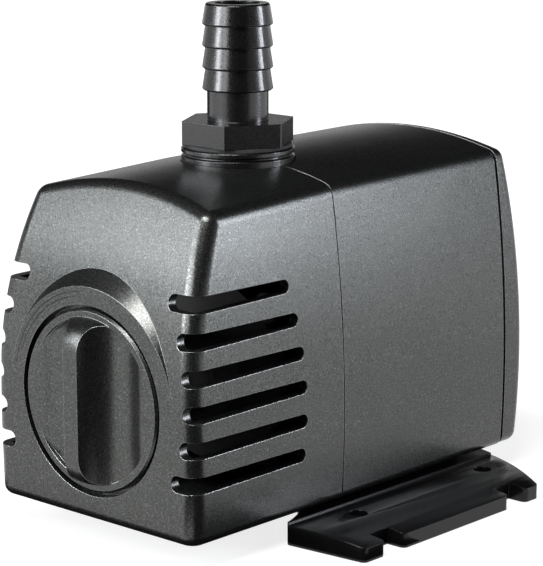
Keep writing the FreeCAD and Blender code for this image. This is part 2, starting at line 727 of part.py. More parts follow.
def flow_dial():
    """Flow dial: a rim round two finger scoops, which leave the grip bar between them."""
    body = new_body("flow_dial")
    blank = new_sketch(body, "dial_blank", "XY")
    draw_outline(blank, [
        ("0", "-grip_height"),
        ("grip_half_flat", "-grip_height", "grip_end_radius"),
        ("scoop_rim", "0"),
        ("scoop_rim", "dial_thickness"),
        ("stem_radius", "dial_thickness"),
        ("stem_radius", SHUTTER_FRONT),
        ("0", SHUTTER_FRONT),
    ])
    revolve(body, blank)
    scoops = new_sketch(body, "dial_scoops", "XY")
    drop = "(grip_height + 1)"
    crest = "(scoop_centre - sqrt(scoop_radius * scoop_radius - (scoop_rise - grip_height) * " \
            "(scoop_rise - grip_height)))"
    foot = "(scoop_centre + sqrt(scoop_radius * scoop_radius - scoop_rise * scoop_rise))"
    for sign, bow in (("", "-scoop_radius"), ("-", "scoop_radius")):
        draw_outline(scoops, [
            (sign + crest, "-grip_height", bow),
            (sign + foot, "0"),
            (sign + "(scoop_rim + 1)", "0"),
            (sign + "(scoop_rim + 1)", "-" + drop),
            (sign + crest, "-" + drop),
        ])
    pocket(body, scoops, "3 * scoop_rim", both_ways=True)
    far = value(foot)
    fillet(body, "scoop_edges", "scoop_blend",
           lambda edge: edge.BoundBox.XLength < FLAT and abs(abs(edge.CenterOfMass.x) - far) < FLAT
           and abs(edge.CenterOfMass.y) < FLAT)
    rim = new_sketch(body, "dial_rim", "XY")
    draw_outline(rim, [
        ("scoop_rim - 0.2", "0"),
        ("dial_radius - dial_edge", "0"),
        ("dial_radius", "dial_edge"),
        ("dial_radius", "dial_thickness"),
        ("scoop_rim - 0.2", "dial_thickness"),
    ])
    revolve(body, rim)
    pilot = new_sketch(body, "dial_pilot", "XZ", "-" + SHUTTER_FRONT)
    draw_circle(pilot, "0", "0", "shutter_screw_radius + seat_play")
    pocket(body, pilot, "shutter_screw_length - shutter_plate + play")
    place_in_pump(body, "0", "axis_level")
    return body


def windows(body, name, radius, start, length):
    """Two opposite windows through a sleeve's wall, each a sector of the circle."""
    sketch = new_sketch(body, name, "XZ", "-(%s)" % start)
    reach = "(2 * %s)" % radius
    across = "(%s * cos(window_angle / 2))" % reach
    up = "(%s * sin(window_angle / 2))" % reach
    draw_outline(sketch, [("0.5", "0"), (across, "-" + up), (across, up)])
    draw_outline(sketch, [("-0.5", "0"), ("-" + across, up), ("-" + across, "-" + up)])
    return pocket(body, sketch, length, backwards=True)


def flow_shutter():
    """Sleeve that turns with the dial and covers or bares the inlet windows."""
    outside = SLEEVE_INSIDE + " + shutter_wall"
    back = SHUTTER_FRONT + " + shutter_plate"
    body = turned_on_depth("flow_shutter", [
        ("shutter_screw_radius + seat_play", SHUTTER_FRONT),
        (outside, SHUTTER_FRONT),
        (outside, "shutter_end"),
        (SLEEVE_INSIDE, "shutter_end"),
        (SLEEVE_INSIDE, back),
        ("shutter_screw_radius + seat_play", back),
    ])
    windows(body, "shutter_windows", SLEEVE_INSIDE, "nozzle_window_front", "nozzle_window")
    return body


def screw(name, across, level, seat, head, head_radius, shank_radius, length, into=1):
    """A pan head and shank in the pump frame, along the depth, tip ahead for a positive into."""
    body = new_body(name)
    sketch = new_sketch(body, name + "_profile", "XY")
    sign = "" if into > 0 else "-"
    far = "%s(%s)" % (sign, length)
    top = "%s(%s)" % ("-" if into > 0 else "", head)
    draw_outline(sketch, [
        ("0", far), (shank_radius, far), (shank_radius, "0"), (head_radius, "0"),
        (head_radius, "%s / 2" % top), ("%s * 0.6" % head_radius, top), ("0", top)])
    revolve(body, sketch)
    place(body, across, "-front_reach + " + seat, "body_lift + " + level)
    return body


def shutter_screw():
    return screw("shutter_screw", "0", "axis_level", SHUTTER_FRONT + " + shutter_plate", "shutter_head",
                 "shutter_head_radius", "shutter_screw_radius", "shutter_screw_length", into=-1)


# ---------------------------------------------------------------- pump chamber and outlet

def ear_places():
    """The four chamber screws, on a circle at half-right angles."""
    reach = "(ear_circle * sqrt(0.5))"
    return [(x + reach, z + reach) for x in ("", "-") for z in ("", "-")]


def eared_disc(body, name, depth, radius, thickness):
    """A disc with a screw ear at each of the four places."""
    sketch = new_sketch(body, name, "XZ", "-(%s)" % depth)
    draw_circle(sketch, "0", "0", radius)
    pad(body, sketch, thickness, backwards=True)
    for number, (x, z) in enumerate(ear_places(), start=1):
        ear = new_sketch(body, "%s_ear_%d" % (name, number), "XZ", "-(%s)" % depth)
        draw_circle(ear, x, z, "ear_radius")
        pad(body, ear, thickness, backwards=True)


def screw_holes(body, name, depth, length, radius):
    sketch = new_sketch(body, name, "XZ", "-(%s)" % depth)
    for x, z in ear_places():
        draw_circle(sketch, x, z, radius)
    pocket(body, sketch, length, backwards=True)


def pump_chamber():
    """Round pump chamber with screw ears, the outlet's neck and its threaded collar."""
    body = new_body("chamber_form")
    depth = "(%s - chamber_front)" % CHAMBER_END
    eared_disc(body, "chamber_outside", "chamber_front", "chamber_radius + chamber_wall", depth)
    place_in_pump(body, "0", "axis_level")
    neck = rod("outlet_neck", "XY", "0", "outlet_depth", "axis_level + chamber_radius - chamber_wall", "collar_foot + 1",
               "outlet_bore + outlet_wall")
    collar = turned_on_height("outlet_collar", [
        ("0", "collar_foot"),
        ("collar_radius - 2", "collar_foot"),
        ("collar_radius", "collar_foot + 2"),
        ("collar_radius", "crown_seam - 2 * crest_pitch"),
        ("collar_crest", "crown_seam - 2 * crest_pitch + crest_slope"),
        ("collar_crest", "collar_top - crest_pitch"),
        ("collar_radius", "collar_top - crest_pitch + crest_slope"),
        ("collar_radius", "collar_top - crest_flat - 3 * crest_slope"),
        ("collar_crest", "collar_top - crest_flat - 2 * crest_slope"),
        ("collar_crest", "collar_top - crest_slope"),
        ("collar_crest - crest_slope", "collar_top"),
        ("0", "collar_top"),
    ])
    solid = fused("chamber_solid", [body, neck, collar])
    room = turned_on_depth("chamber_room", [
        ("0", "chamber_front - 1"),
        ("chamber_radius", "chamber_front - 1"),
        ("chamber_radius", "chamber_back"),
        ("rotor_mouth", "chamber_back"),
        ("rotor_mouth", CHAMBER_END + " + 1"),
        ("0", CHAMBER_END + " + 1"),
    ])
    bore = turned_on_height("outlet_way", [
        ("0", "axis_level"),
        ("outlet_bore", "axis_level"),
        ("outlet_bore", "collar_top + washer - thread_length - 2 - 3"),
        ("thread_radius + seat_play", "collar_top + washer - thread_length - 2"),
        ("thread_radius + seat_play", "collar_top + 1"),
        ("0", "collar_top + 1"),
    ])
    ways = [rod("chamber_ear_hole_%d" % number, "XZ", x, "axis_level + " + z, "chamber_front - 1",
                CHAMBER_END + " + 1", "chamber_screw_radius + play")
            for number, (x, z) in enumerate(ear_places(), start=1)]
    groove = seal_ring("chamber_seal_groove", "(chamber_front - seat_play)", FRONT_SEAL_END, "seat_play")
    rear_groove = seal_ring("base_seal_groove", REAR_SEAL_START, "(%s + seat_play)" % CHAMBER_END, "seat_play")
    tools = fused("chamber_cuts", [room, bore, groove, rear_groove] + ways)
    return cut("pump_chamber", solid, tools)


def seal_ring(label, start, end, swell="0"):
    """A square-cut ring let into the chamber's rim between two depths."""
    inside = "(chamber_radius + chamber_wall / 2)"
    half = "(seal_radius * 0.5 + %s)" % swell
    return turned_on_depth(label, [
        ("%s - %s" % (inside, half), start),
        ("%s + %s" % (inside, half), start),
        ("%s + %s" % (inside, half), end),
        ("%s - %s" % (inside, half), end),
    ])


def chamber_cover():
    """Cover of the pump chamber: eared plate, windowed inlet nozzle and the front bush's spider."""
    body = new_body("chamber_cover")
    eared_disc(body, "cover_plate", COVER_FRONT, "chamber_radius + chamber_wall", "cover_plate")
    nozzle = new_sketch(body, "nozzle_profile", "XY")
    draw_outline(nozzle, [
        ("0", "nozzle_front"),
        ("nozzle_radius", "nozzle_front"),
        ("nozzle_radius", COVER_FRONT + " + cover_plate / 2"),
        ("0", COVER_FRONT + " + cover_plate / 2"),
    ])
    revolve(body, nozzle)
    way = new_sketch(body, "nozzle_way", "XZ", "-(nozzle_front + nozzle_wall)")
    draw_circle(way, "0", "0", "nozzle_radius - nozzle_wall")
    pocket(body, way, "chamber_front", backwards=True)
    windows(body, "inlet_windows", "nozzle_radius", "nozzle_window_front", "nozzle_window")
    hub = new_sketch(body, "spider_hub", "XZ", "-front_bush_front")
    draw_circle(hub, "0", "0", "bush_radius + nozzle_wall")
    pad(body, hub, "chamber_front - front_bush_front", backwards=True)
    arm = new_sketch(body, "spider_arm", "XZ", "-front_bush_front")
    draw_box(arm, "bush_radius", "nozzle_radius - nozzle_wall / 2", "-nozzle_wall / 2", "nozzle_wall / 2")
    polar(body, pad(body, arm, "chamber_front - front_bush_front", backwards=True), SPIDER_ARMS)
    seat = new_sketch(body, "bush_seat", "XZ", "-(chamber_front)")
    draw_circle(seat, "0", "0", "bush_radius + seat_play")
    pocket(body, seat, "chamber_front - front_bush_front - nozzle_wall")
    screw_holes(body, "cover_screw_holes", COVER_FRONT + " - 1", "cover_plate + 2",
                "chamber_screw_radius + play")
    place_in_pump(body, "0", "axis_level")
    return body


def chamber_screws():
    length = "bulkhead_front + chamber_screw_bite - " + COVER_FRONT
    pieces = [screw("chamber_screw_%d" % number, x, "axis_level + " + z, COVER_FRONT, "chamber_head",
                    "chamber_head_radius", "chamber_screw_radius", length)
              for number, (x, z) in enumerate(ear_places(), start=1)]
    return grouped("chamber_screws", pieces)


def grouped(label, pieces):
    """Alike fasteners kept together as one group of separate solids."""
    group = doc.addObject("Part::Compound", label)
    group.Links = pieces
    group.Label = label
    return group


def hose_adaptor():
    """Hose adaptor: threaded end, hexagon, neck and four barbs, bored through."""
    body = new_body("hose_adaptor")
    foot = "(collar_top + washer)"
    barb_foot = "(%s + hex_height + neck_length)" % foot
    bore = "(neck_radius - spout_wall)"
    profile = new_sketch(body, "adaptor_profile", "XZ")
    corners = [
        (bore, foot + " - thread_length"),
        ("thread_radius - 0.8", foot + " - thread_length"),
        ("thread_radius", foot + " - thread_length + 0.8"),
        ("thread_radius", foot),
        ("hex_flats / 2 - 0.3", foot),
        ("hex_flats / 2 - 0.3", foot + " + hex_height"),
        ("neck_radius", foot + " + hex_height"),
        ("neck_radius", barb_foot),
    ]
    for number in range(BARB_COUNT):
        low = "%s + %d * barb_pitch" % (barb_foot, number)
        corners.append(("barb_radius - barb_edge", low))
        corners.append(("barb_radius", low + " + barb_edge"))
        corners.append(("barb_root", low + " + barb_pitch"))
    mouth = "%s + %d * barb_pitch" % (barb_foot, BARB_COUNT)
    corners[-1] = ("barb_root", mouth + " - barb_edge")
    corners.append(("barb_root - barb_edge", mouth))
    corners.append((bore, mouth))
    draw_outline(profile, corners)
    revolve(body, profile)
    hexagon = new_sketch(body, "hexagon", "XY", foot)
    half = "(hex_flats / 2)"
    corner = "(hex_flats / sqrt(3))"
    ring = [(corner, "0"), (corner + " / 2", half), ("-" + corner + " / 2", half),
            ("-" + corner, "0"), ("-" + corner + " / 2", "-" + half), (corner + " / 2", "-" + half)]
    draw_outline(hexagon, ring)
    draw_circle(hexagon, "0", "0", "neck_radius - 0.5")
    pad(body, hexagon, "hex_height")
    tall = value("hex_height")
    fillet(body, "hexagon_edges", "hex_edge", lambda edge: abs(edge.BoundBox.ZLength - tall) < FLAT
           and math.hypot(edge.BoundBox.XLength, edge.BoundBox.YLength) < FLAT)
    place_in_pump(body, "outlet_depth")
    return body


def adaptor_gasket():
    return turned_on_height("adaptor_gasket", [
        ("thread_radius + play", "collar_top"),
        ("washer_radius", "collar_top"),
        ("washer_radius", "collar_top + washer"),
        ("thread_radius + play", "collar_top + washer"),
    ])


# ---------------------------------------------------------------- rotor

def impeller():
    """Impeller with straight vanes, which pumps alike in either sense of turning."""
    body = new_body("impeller")
    end = "(impeller_front + impeller_length)"
    profile = new_sketch(body, "impeller_profile", "XY")
    bore = "(shaft_radius + shaft_play)"
    draw_outline(profile, [
        (bore, "impeller_front"),
        ("impeller_hub - 1.2", "impeller_front"),
        ("impeller_hub", "impeller_front + 2"),
        ("impeller_hub", end + " - impeller_plate"),
        ("impeller_radius", end + " - impeller_plate"),
        ("impeller_radius", end),
        (bore, end),
    ])
    revolve(body, profile)
    vane = new_sketch(body, "vane", "XY", "-vane_thickness / 2")
    draw_outline(vane, [
        ("impeller_hub - 0.5", "impeller_front + 2"),
        ("impeller_radius * 0.6", "impeller_front + 2"),
        ("impeller_radius", "impeller_front + 4"),
        ("impeller_radius", end + " - impeller_plate / 2"),
        ("impeller_hub - 0.5", end + " - impeller_plate / 2"),
    ])
    polar(body, pad(body, vane, "vane_thickness"), VANE_COUNT)
    place_in_pump(body, "0", "axis_level")
    return body


def rotor_sleeve():
    """Plastic sleeve that ties the magnet to the impeller and runs on the shaft."""
    start = "(impeller_front + impeller_length)"
    bore = "(shaft_radius + shaft_play)"
    return turned_on_depth("rotor_sleeve", [
        (bore, start),
        ("sleeve_radius", start),
        ("sleeve_radius", "magnet_front - 1.5"),
        ("sleeve_flange", "magnet_front - 1.5"),
        ("sleeve_flange", "magnet_front"),
        ("sleeve_radius", "magnet_front"),
        ("sleeve_radius", MAGNET_END),
        (bore, MAGNET_END),
    ])


def rotor_magnet():
    bore = "(sleeve_radius + seat_play)"
    return turned_on_depth("rotor_magnet", [
        (bore, "magnet_front"),
        ("magnet_radius", "magnet_front"),
        ("magnet_radius", MAGNET_END),
        (bore, MAGNET_END),
    ])


def rotor_shaft():
    return turned_on_depth("rotor_shaft", [
        ("0", "front_bush_front + nozzle_wall"),
        ("shaft_radius", "front_bush_front + nozzle_wall"),
        ("shaft_radius", WELL_END + " - well_wall"),
        ("0", WELL_END + " - well_wall"),
    ])


def bush(label, start):
    """Rubber-cushioned bush that holds one end of the shaft."""
    return turned_on_depth(label, [
        ("shaft_radius", start),
        ("bush_radius", start),
        ("bush_radius", start + " + bush_length"),
        ("shaft_radius", start + " + bush_length"),
    ])


# ---------------------------------------------------------------- motor

def housing_cavity(label, start, end):
    """A length of the motor housing's inside."""
    return shell_block(label, start, end, "wall")


def motor_housing():
    """Motor housing: crowned shell, bulkhead, rotor well and screw bosses in one moulding."""
    body = shell_block("housing_form", HOUSING_START, HOUSING_END, "0", rounded=True)
    mouth = housing_cavity("housing_mouth", "(seam_depth - 1)", "bulkhead_front")
    room = housing_cavity("housing_room", "(bulkhead_front + bulkhead)", "(" + HOUSING_END + " + 1)")
    shell = cut("housing_shell", body, fused("housing_hollows", [mouth, room]))
    well = rod("well_outside", "XZ", "0", "axis_level", "bulkhead_front + bulkhead / 2", WELL_END,
               WELL_OUTSIDE)
    bosses = [rod("chamber_boss_%d" % number, "XZ", x, "axis_level + " + z, "bulkhead_front + bulkhead / 2",
                  "core_front - play", "chamber_screw_radius + boss_wall")
              for number, (x, z) in enumerate(ear_places(), start=1)]
    rear = [rod("cap_boss_%d" % number, "XZ", x, z, HOUSING_END + " - cap_boss_length", HOUSING_END,
                "cap_boss_radius") for number, (x, z) in enumerate(cap_screw_places(), start=1)]
    floor = [rod("base_boss_%d" % number, "XY", x, y, "wall / 2", "base_screw_bite + 3 * pilot_room",
                 "base_screw_radius + boss_wall") for number, (x, y) in enumerate(base_screw_places(), start=1)]
    solid = fused("housing_solid", [shell, well] + bosses + rear + floor)
    inside = turned_on_depth("well_inside", [
        ("0", "bulkhead_front - 1"),
        ("rotor_mouth", "bulkhead_front - 1"),
        ("rotor_mouth", WELL_END + " - well_wall - bush_length"),
        ("bush_radius + seat_play", WELL_END + " - well_wall - bush_length"),
        ("bush_radius + seat_play", WELL_END + " - well_wall"),
        ("0", WELL_END + " - well_wall"),
    ])
    pilots = [rod("chamber_pilot_%d" % number, "XZ", x, "axis_level + " + z, "bulkhead_front - 1",
                  "bulkhead_front + chamber_screw_bite + pilot_room", "chamber_screw_radius + seat_play")
              for number, (x, z) in enumerate(ear_places(), start=1)]
    pilots += [rod("cap_pilot_%d" % number, "XZ", x, z, CAP_SEAT + " - cap_screw_length - play",
                   HOUSING_END + " + 1", "cap_screw_radius + seat_play")
               for number, (x, z) in enumerate(cap_screw_places(), start=1)]
    pilots += [rod("base_pilot_%d" % number, "XY", x, y, "-1", "base_screw_bite + pilot_room",
                   "base_screw_radius + seat_play")
               for number, (x, y) in enumerate(base_screw_places(), start=1)]
    collar_hole = rod("housing_collar_hole", "XY", "0", "outlet_depth", "collar_foot", "crown_rear + 10",
                      COLLAR_CLEAR)
    tools = fused("housing_cuts", [inside, collar_hole] + pilots)
    return cut("motor_housing", solid, tools)


def stator_core():
    """U-shaped stack of laminations: two poles round the rotor, two legs and the yoke."""
    body = new_body("stator_core")
    outside = new_sketch(body, "core_outline", "XZ", "-core_front")
    draw_outline(outside, [
        ("core_half_width", "core_bottom"),
        ("core_half_width", "core_top"),
        ("-core_half_width", "core_top"),
        ("-core_half_width", "core_bottom"),
        ("-pole_slit", "core_bottom"),
        ("-pole_slit", "window_bottom"),
        ("-leg_inner", "window_bottom"),
        ("-leg_inner", "window_top"),
        ("leg_inner", "window_top"),
        ("leg_inner", "window_bottom"),
        ("pole_slit", "window_bottom"),
        ("pole_slit", "core_bottom"),
    ])
    pad(body, outside, CORE_END + " - core_front", backwards=True)
    bore = new_sketch(body, "core_bore", "XZ", "-(core_front - 1)")
    draw_circle(bore, "0", "axis_level", WELL_OUTSIDE + " + play")
    pocket(body, bore, CORE_END + " - core_front + 2", backwards=True)
    place_in_pump(body)
    return body


LEG_MIDDLE = "((core_half_width + leg_inner) / 2)"
LEG_HALF = "((core_half_width - leg_inner) / 2 + seat_play)"
STACK_MIDDLE = "((%s + core_front) / 2)" % CORE_END
STACK_HALF = "((%s - core_front) / 2 + seat_play)" % CORE_END


def rounded_box(sketch, x, y, half_x, half_y, corner):
    """A box with round corners, about a centre."""
    inner_x = "(%s - %s)" % (half_x, corner)
    inner_y = "(%s - %s)" % (half_y, corner)
    draw_outline(sketch, [
        ("%s + %s" % (x, inner_x), "%s - %s" % (y, half_y), corner),
        ("%s + %s" % (x, half_x), "%s - %s" % (y, inner_y)),
        ("%s + %s" % (x, half_x), "%s + %s" % (y, inner_y), corner),
        ("%s + %s" % (x, inner_x), "%s + %s" % (y, half_y)),
        ("%s - %s" % (x, inner_x), "%s + %s" % (y, half_y), corner),
        ("%s - %s" % (x, half_x), "%s + %s" % (y, inner_y)),
        ("%s - %s" % (x, half_x), "%s - %s" % (y, inner_y), corner),
        ("%s - %s" % (x, inner_x), "%s - %s" % (y, half_y)),
    ])


def coil_bobbin(label, side):
    """Flanged bobbin round one leg of the core."""
    body = new_body(label)
    x = side + LEG_MIDDLE
    stages = [
        ("window_bottom + seat_play", "bobbin_wall", "coil_build + bobbin_wall"),
        ("window_bottom + seat_play", "window_top - window_bottom - 2 * seat_play", "bobbin_wall"),
        ("window_top - seat_play - bobbin_wall", "bobbin_wall", "coil_build + bobbin_wall"),
    ]
    for number, (level, height, reach) in enumerate(stages, start=1):
        sketch = new_sketch(body, "%s_stage_%d" % (label, number), "XY", level)
        rounded_box(sketch, x, STACK_MIDDLE, "(%s + %s)" % (LEG_HALF, reach),
                    "(%s + %s)" % (STACK_HALF, reach), "bobbin_wall")
        pad(body, sketch, height)
    way = new_sketch(body, label + "_way", "XY", "window_bottom")
    draw_box(way, "%s - %s" % (x, LEG_HALF), "%s + %s" % (x, LEG_HALF),
             "%s - %s" % (STACK_MIDDLE, STACK_HALF), "%s + %s" % (STACK_MIDDLE, STACK_HALF))
    pocket(body, way, "window_top - window_bottom")
    place_in_pump(body)
    return body


def winding(label, side):
    """Copper winding between a bobbin's flanges."""
    body = new_body(label)
    x = side + LEG_MIDDLE
    sketch = new_sketch(body, label + "_ring", "XY", "window_bottom + seat_play + bobbin_wall")
    rounded_box(sketch, x, STACK_MIDDLE, "(%s + bobbin_wall + coil_build)" % LEG_HALF,
                "(%s + bobbin_wall + coil_build)" % STACK_HALF, "coil_build")
    rounded_box(sketch, x, STACK_MIDDLE, "(%s + bobbin_wall)" % LEG_HALF,
                "(%s + bobbin_wall)" % STACK_HALF, "bobbin_wall")
    pad(body, sketch, "window_top - window_bottom - 2 * seat_play - 2 * bobbin_wall")
    place_in_pump(body)
    return body


def motor_bosses():
    """What the resin flows round: the well, and the bosses of the chamber and base screws."""
    start = "(bulkhead_front + bulkhead)"
    bosses = [rod("potted_well", "XZ", "0", "axis_level", start, WELL_END, WELL_OUTSIDE)]
    bosses += [rod("potted_chamber_boss_%d" % number, "XZ", x, "axis_level + " + z, start,
                   "core_front - play", "chamber_screw_radius + boss_wall")
               for number, (x, z) in enumerate(ear_places(), start=1)]
    bosses += [rod("potted_base_boss_%d" % number, "XY", x, y, "wall / 2", "base_screw_bite + 3 * pilot_room",
                   "base_screw_radius + boss_wall") for number, (x, y) in enumerate(base_screw_places(), start=1)]
    bosses += [rod("potted_cap_boss_%d" % number, "XZ", x, z, HOUSING_END + " - cap_boss_length",
                   HOUSING_END, "cap_boss_radius")
               for number, (x, z) in enumerate(cap_screw_places(), start=1)]
    return bosses


def epoxy_potting(embedded):
    """Cast resin that fills the housing round the motor."""
    block = housing_cavity("potting_block", "(bulkhead_front + bulkhead)", POTTING_END)
    return cut("epoxy_potting", block, fused("potting_hollows", embedded))


# ---------------------------------------------------------------- rear cap

def cap_screw_places():
    return [(x + "cap_screw_across", z) for x in ("", "-") for z in ("cap_screw_low", "cap_screw_high")]


def rear_gasket():
    """Flat seal in the groove between the housing and the rear cap."""
    body = new_body("gasket_form")
    for number, inset in enumerate(("wall / 3", "(wall + cap_groove)"), start=1):
        sketch = section(body, "gasket_outline_%d" % number, HOUSING_END, inset, "crown_rear")
        if number == 1:
            pad(body, sketch, "cap_groove", backwards=True)
        else:
            pocket(body, sketch, "cap_groove", backwards=True)
    place_in_pump(body)
    holes = [("XZ", x, z, HOUSING_END + " - 1", CAP_START + " + 1", "cap_boss_radius + play")
             for x, z in cap_screw_places()]
    return drilled("rear_gasket", body, holes)


def rear_cap():
    """Rear cap: bowed back, rounded edges, hollow inside, with its screws' seats."""
    body = new_body("cap_form")
    outline = section(body, "cap_outline", CAP_START, "0", "crown_rear")
    pad(body, outline, "cap_depth + 1", backwards=True)
    bow = new_sketch(body, "cap_bow_outline", "YZ")
    low = "(body_length - cap_bow + sqrt(cap_bow * cap_bow - cap_bow_level * cap_bow_level))"
    top = "(crown_rear + 2)"
    rise = "(%s - cap_bow_level)" % top
    high = "(body_length - cap_bow + sqrt(cap_bow * cap_bow - %s * %s))" % (rise, rise)
    draw_outline(bow, [
        (low, "0", "cap_bow"),
        (high, top),
        ("body_length + 5", top),
        ("body_length + 5", "0"),
    ])
    pocket(body, bow, "3 * waist_half_width", both_ways=True)
    start = value(CAP_START) + FLAT
    fillet(body, "cap_edges", "cap_edge_radius", lambda edge: edge.BoundBox.YMax > start)
    place_in_pump(body)
    hollow = shell_block("cap_hollow", "(%s - 1)" % CAP_START, "(body_length - cap_plate - 2)", "wall",
                         ("crown_rear", "crown_rear"))
    shell = cut("cap_shell", body, hollow)
    posts = [rod("cap_post_%d" % number, "XZ", x, z, CAP_START, "body_length - cap_plate - 1",
                 "cap_boss_radius") for number, (x, z) in enumerate(cap_screw_places(), start=1)]
    solid = fused("cap_solid", [shell] + posts)
    holes = []
    for x, z in cap_screw_places():
        holes.append(("XZ", x, z, CAP_START + " - 1", "body_length + 1", "cap_screw_radius + play"))
        holes.append(("XZ", x, z, CAP_SEAT, "body_length + 1", "cap_head_radius + play"))
    holes.append(("XZ", "0", "gland_level", CAP_START, "body_length + 1", "gland_radius + seat_play"))
    return drilled("rear_cap", solid, holes)


def rear_cap_screws():
    pieces = [screw("cap_screw_%d" % number, x, z, CAP_SEAT, "cap_head", "cap_head_radius",
                    "cap_screw_radius", "cap_screw_length", into=-1)
              for number, (x, z) in enumerate(cap_screw_places(), start=1)]
    return grouped("rear_cap_screws", pieces)


def cord_gland():
    """Rubber gland in the rear cap, the cord's inlet."""
    back = "(body_length + gland_reach)"
    body = turned_on_depth("cord_gland", [
        ("cord_radius", "body_length - 7"),
        ("gland_radius + 0.8", "body_length - 7"),
        ("gland_radius", "body_length - 4.5"),
        ("gland_radius", "body_length"),
        ("gland_flange", "body_length"),
        ("gland_flange", "body_length + gland_flange_length"),
        ("gland_radius - 0.6", "body_length + gland_flange_length"),
        ("gland_radius - 1.4", back),
        ("cord_radius", back),
    ])
    place_in_pump(body, "0", "gland_level")
    return body


# ---------------------------------------------------------------- base plate

def base_screw_places():
    return [(x + "base_screw_across", y) for x in ("", "-") for y in ("base_screw_front", REAR_SCREWS)]


def base_form():
    """Outline of the base plate: a front bay, a bowed rear edge and notched wings."""
    body = new_body("base_form")
    outline = new_sketch(body, "base_outline", "XY", "-body_lift")
    edge = "base_half_width"
    inner = "(base_half_width - notch_depth)"
    right = [
        ("base_front_across", "base_front"),
        (edge, "base_front_outer"),
        (edge, "front_notch"),
        (inner, "front_notch"),
        (inner, "front_notch + notch_width"),
        (edge, "front_notch + notch_width"),
        (edge, REAR_NOTCH),
        (inner, REAR_NOTCH),
        (inner, REAR_NOTCH + " + notch_width"),
        (edge, REAR_NOTCH + " + notch_width"),
        (edge, WING_REAR, "base_rear_radius"),
    ]
    left = [("-" + x, y) for x, y in [point[:2] for point in reversed(right)]]
    bay = ("0", "base_bay_depth", "-base_bay_radius")
    last = left[-1] + ("-base_bay_radius",)
    draw_outline(outline, right + left[:-1] + [last, bay])
    pad(body, outline, BASE_TOP)
    within = value(inner) + FLAT
    tips = value("base_front_across")

    def outer(edge):
        across = abs(edge.CenterOfMass.x)
        at_wing_tip = abs(across - tips) < FLAT
        return edge.BoundBox.ZLength > FLAT and (at_wing_tip or across > within)

    fillet(body, "base_corners", "base_corner_radius", outer)
    return body


def base_plate():
    """Base plate: notched wings that fall to their edges, hollow below, on bosses and ribs."""
    body = base_form()
    crown = new_sketch(body, "base_crown", "XZ", "5")
    step = "base_step_across"
    edge = "(base_half_width + 3)"
    shelf = "(-base_gap - base_step)"
    fall = "(-base_gap - base_edge_drop)"
    draw_outline(crown, [
        (edge, fall),
        (edge, "2"),
        (step, "2"),
        (step, shelf, "-base_crown_radius"),
    ])
    draw_outline(crown, [
        ("-" + edge, fall, "-base_crown_radius"),
        ("-" + step, shelf),
        ("-" + step, "2"),
        ("-" + edge, "2"),
    ])
    pocket(body, crown, "base_rear + 10", backwards=True)
    pad_sketch = new_sketch(body, "body_pad", "XY", "-base_gap - base_skin / 2")
    draw_box(pad_sketch, "-pad_half_width", "pad_half_width", "pad_front", PAD_REAR)
    pad(body, pad_sketch, "base_gap + base_skin / 2")
    hollows = new_sketch(body, "base_hollows", "XY", "-body_lift")
    for left, right, front, rear in base_bays():
        draw_box(hollows, left, right, front, rear)
    pocket(body, hollows, BASE_TOP + " - base_step - base_edge_drop / 2 - base_skin")
    place_in_pump(body)
    holes = []
    for x, y in fixing_places():
        holes.append(("XY", x, y, "-body_lift - 1", "1", "hole_radius"))
    for x, y in base_screw_places():
        holes.append(("XY", x, y, "-body_lift - 1", "1", "base_screw_radius + play"))
        holes.append(("XY", x, y, "-body_lift - 1", "-base_skin - base_gap / 2", "base_head_radius + play"))
    return drilled("base_plate", body, holes)


def fixing_places():
    """The four fixing holes, about the origin of the row frame."""
    return [(x + "hole_across / 2", "front_reach %s hole_along / 2" % y) for x in ("", "-") for y in "-+"]


def base_bays():
    """The hollows below the plate, between its rim, ribs and bosses: left, right, front, rear."""
    rib = "base_rim / 2"
    holes = ("(front_reach - hole_along / 2 + hole_boss)", "(front_reach + hole_along / 2 - hole_boss)")
    screws = ("(base_screw_front + base_boss)", "(%s - base_boss)" % REAR_SCREWS)
    columns = [
        ("(%s)" % rib, "(base_screw_across - base_boss)", screws),
        ("(base_screw_across + base_boss)", "(base_step_across - %s)" % rib, screws),
        ("(base_step_across + %s)" % rib, "(base_half_width - notch_depth - base_rim)", holes),
    ]
    bays = []
    for sign in ("", "-"):
        for inner, outer, (front, rear) in columns:
            sides = (sign + inner, sign + outer)
            left, right = sides if sign == "" else sides[::-1]
            middle = "((%s + %s) / 2)" % (front, rear)
            bays.append((left, right, front, "(%s - %s)" % (middle, rib)))
            bays.append((left, right, "(%s + %s)" % (middle, rib), rear))
    return bays


def base_screws():
    """Screws that hold the base plate to the body, from below."""
    pieces = []
    for number, (x, y) in enumerate(base_screw_places(), start=1):
        body = new_body("base_screw_%d" % number)
        sketch = new_sketch(body, body.Name + "_profile", "XZ")
        draw_outline(sketch, [
            ("0", "base_screw_bite"),
            ("base_screw_radius", "base_screw_bite"),
            ("base_screw_radius", "-base_skin - base_gap / 2"),
            ("base_head_radius", "-base_skin - base_gap / 2"),
            ("base_head_radius", "-base_skin - base_gap / 2 - base_head / 2"),
            ("base_head_radius * 0.6", "-base_skin - base_gap / 2 - base_head"),
            ("0", "-base_skin - base_gap / 2 - base_head"),
        ])
        revolve(body, sketch)
        place(body, x, "-front_reach + " + y, "body_lift")
        pieces.append(body)
    return grouped("base_screws", pieces)


# ---------------------------------------------------------------- the whole pump

